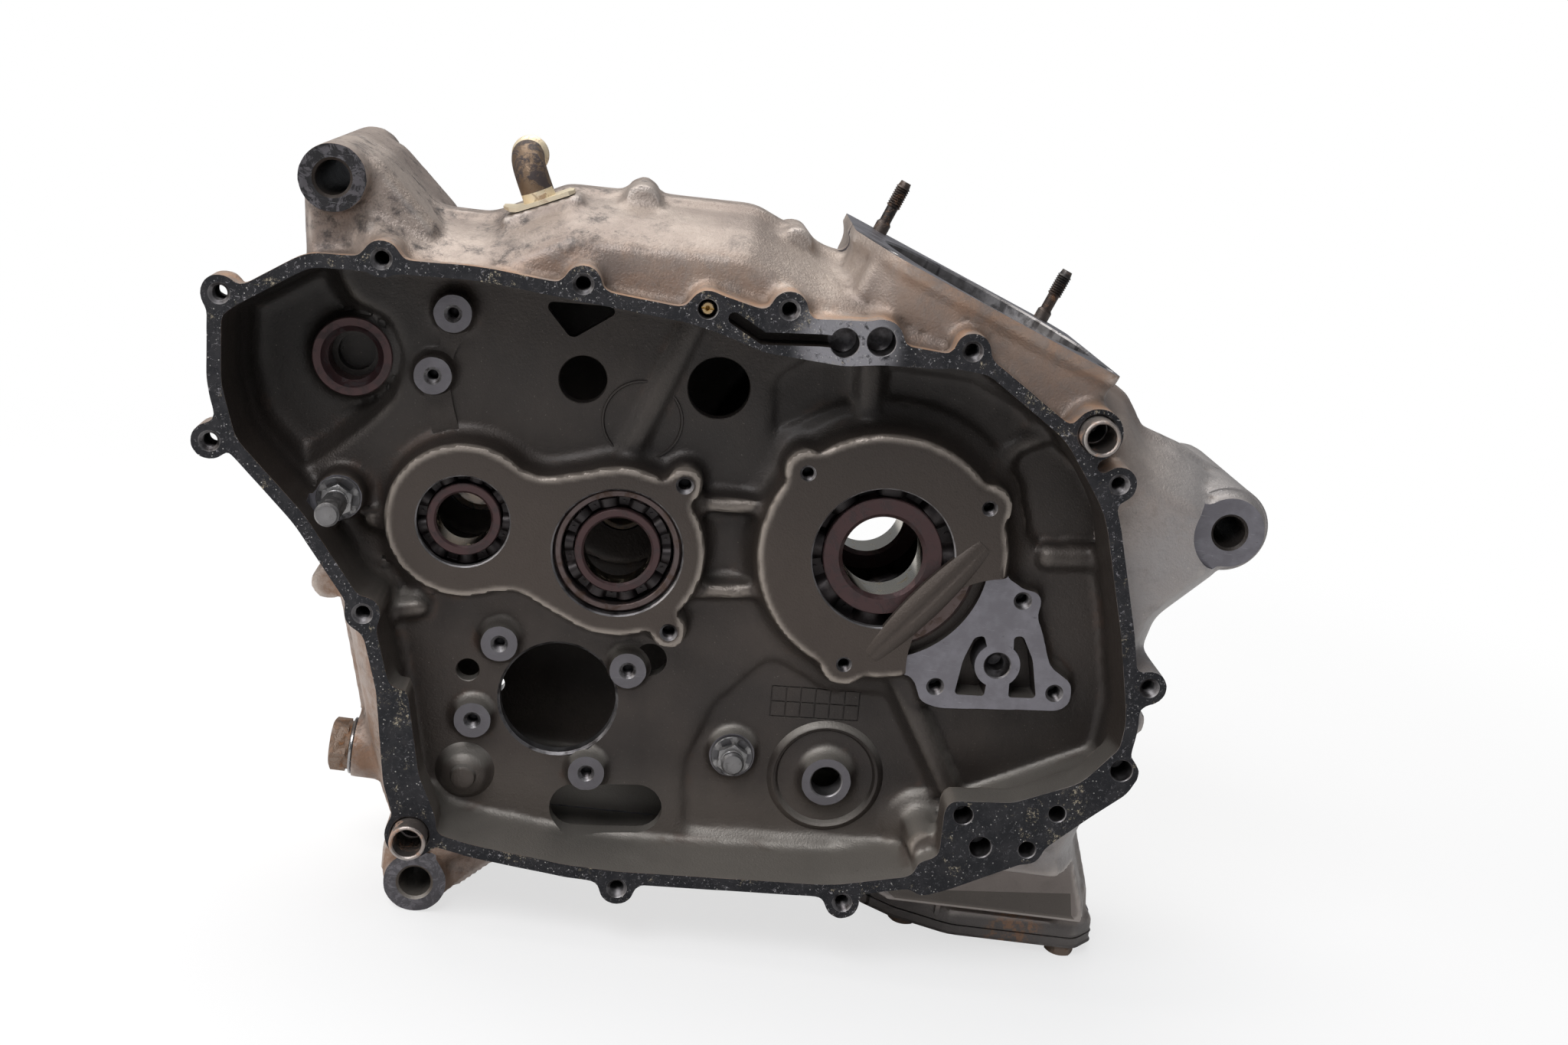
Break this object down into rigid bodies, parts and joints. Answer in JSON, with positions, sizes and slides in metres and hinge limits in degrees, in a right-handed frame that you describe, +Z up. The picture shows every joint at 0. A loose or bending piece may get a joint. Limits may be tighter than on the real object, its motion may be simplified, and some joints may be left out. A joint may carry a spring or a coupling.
{
  "type": "engine crankcase",
  "caption": "Bare aluminium crankcase of a four-stroke engine with a built-in gearbox: open clutch cavity, shaft bearings, cylinder deck and frame mounts.",
  "frame": {"origin": "on the floor under the middle of the length and depth", "axes": "+X from the gearbox end to the front mount, +Y from the clutch side to the magneto side, along every shaft, +Z up"},
  "size_m": [0.3958, 0.1234, 0.2947],
  "materials": {
    "cast_aluminium": "cast, satin, stained by oil, with machined faces and gasket residue",
    "cast_aluminium_far": "cast, satin, tan stains",
    "bearing_steel": "ground steel under an oil film",
    "stained_bearing_steel": "ground steel with a purple-brown oil stain",
    "bronze": "plain bearing bronze, dull",
    "brass": "turned brass, tarnished",
    "yellow_zinc_plate": "pressed steel, yellow zinc plated, sooty",
    "rusted_steel": "steel with brown surface rust",
    "dark_steel": "dark oxidised steel, rusty at the tips"
  },
  "bodies": {
    "case": {"right_case": "cast_aluminium", "left_case": "cast_aluminium_far", "crank_bearing_right_outer": "bearing_steel", "crank_bearing_left_outer": "bearing_steel", "main_shaft_bearing_outer": "bearing_steel", "countershaft_bearing_outer": "bearing_steel", "main_shaft_bush": "bronze", "countershaft_bush": "bronze", "idle_gear_bush": "stained_bearing_steel", "cover_dowel_1": "bearing_steel", "cover_dowel_2": "bearing_steel", "oil_jet": "brass", "spring_post": "bearing_steel", "stopper_post": "bearing_steel", "cylinder_stud_1": "dark_steel", "cylinder_stud_2": "dark_steel", "drain_plug": "rusted_steel", "drain_washer": "bearing_steel", "strainer_cover": "cast_aluminium_far", "strainer_bolt_1": "rusted_steel", "strainer_bolt_2": "rusted_steel", "strainer_bolt_3": "rusted_steel", "strainer_bolt_4": "rusted_steel", "case_screw_1": "rusted_steel", "case_screw_2": "rusted_steel", "case_screw_3": "rusted_steel", "case_screw_4": "rusted_steel", "case_screw_5": "rusted_steel", "case_screw_6": "rusted_steel", "case_dowel_1": "rusted_steel", "case_dowel_2": "rusted_steel", "breather_pipe": "yellow_zinc_plate"},
    "crank_bearing_right_race": {"crank_bearing_right_inner": "stained_bearing_steel"},
    "crank_bearing_right_balls": {"crank_bearing_right_cage": "bearing_steel"},
    "crank_bearing_left_race": {"crank_bearing_left_inner": "stained_bearing_steel"},
    "crank_bearing_left_balls": {"crank_bearing_left_cage": "bearing_steel"},
    "main_shaft_bearing_race": {"main_shaft_bearing_inner": "stained_bearing_steel"},
    "main_shaft_bearing_balls": {"main_shaft_bearing_cage": "bearing_steel"},
    "countershaft_bearing_race": {"countershaft_bearing_inner": "stained_bearing_steel"},
    "countershaft_bearing_balls": {"countershaft_bearing_cage": "bearing_steel"}
  },
  "joints": [
    {"name": "crank_bearing_right_spin", "type": "hinge", "parent": "case", "child": "crank_bearing_right_race", "pos_m": [0.0535, -0.02585, 0.1632], "axis": [0, 1, 0], "continuous": true},
    {"name": "crank_bearing_right_balls_spin", "type": "hinge", "parent": "case", "child": "crank_bearing_right_balls", "pos_m": [0.0535, -0.02585, 0.1632], "axis": [0, 1, 0], "continuous": true},
    {"name": "crank_bearing_left_spin", "type": "hinge", "parent": "case", "child": "crank_bearing_left_race", "pos_m": [0.0535, 0.03515, 0.1632], "axis": [0, 1, 0], "continuous": true},
    {"name": "crank_bearing_left_balls_spin", "type": "hinge", "parent": "case", "child": "crank_bearing_left_balls", "pos_m": [0.0535, 0.03515, 0.1632], "axis": [0, 1, 0], "continuous": true},
    {"name": "main_shaft_bearing_spin", "type": "hinge", "parent": "case", "child": "main_shaft_bearing_race", "pos_m": [-0.044, -0.02935, 0.1517], "axis": [0, 1, 0], "continuous": true},
    {"name": "main_shaft_bearing_balls_spin", "type": "hinge", "parent": "case", "child": "main_shaft_bearing_balls", "pos_m": [-0.044, -0.02935, 0.1517], "axis": [0, 1, 0], "continuous": true},
    {"name": "countershaft_bearing_spin", "type": "hinge", "parent": "case", "child": "countershaft_bearing_race", "pos_m": [-0.101, -0.02935, 0.1557], "axis": [0, 1, 0], "continuous": true},
    {"name": "countershaft_bearing_balls_spin", "type": "hinge", "parent": "case", "child": "countershaft_bearing_balls", "pos_m": [-0.101, -0.02935, 0.1557], "axis": [0, 1, 0], "continuous": true}
  ],
  "couplings": [
    {"joint": "crank_bearing_right_balls_spin", "follows": "crank_bearing_right_spin", "ratio": 0.3794},
    {"joint": "crank_bearing_left_balls_spin", "follows": "crank_bearing_left_spin", "ratio": 0.3794},
    {"joint": "main_shaft_bearing_balls_spin", "follows": "main_shaft_bearing_spin", "ratio": 0.4111},
    {"joint": "countershaft_bearing_balls_spin", "follows": "countershaft_bearing_spin", "ratio": 0.3968}
  ]
}
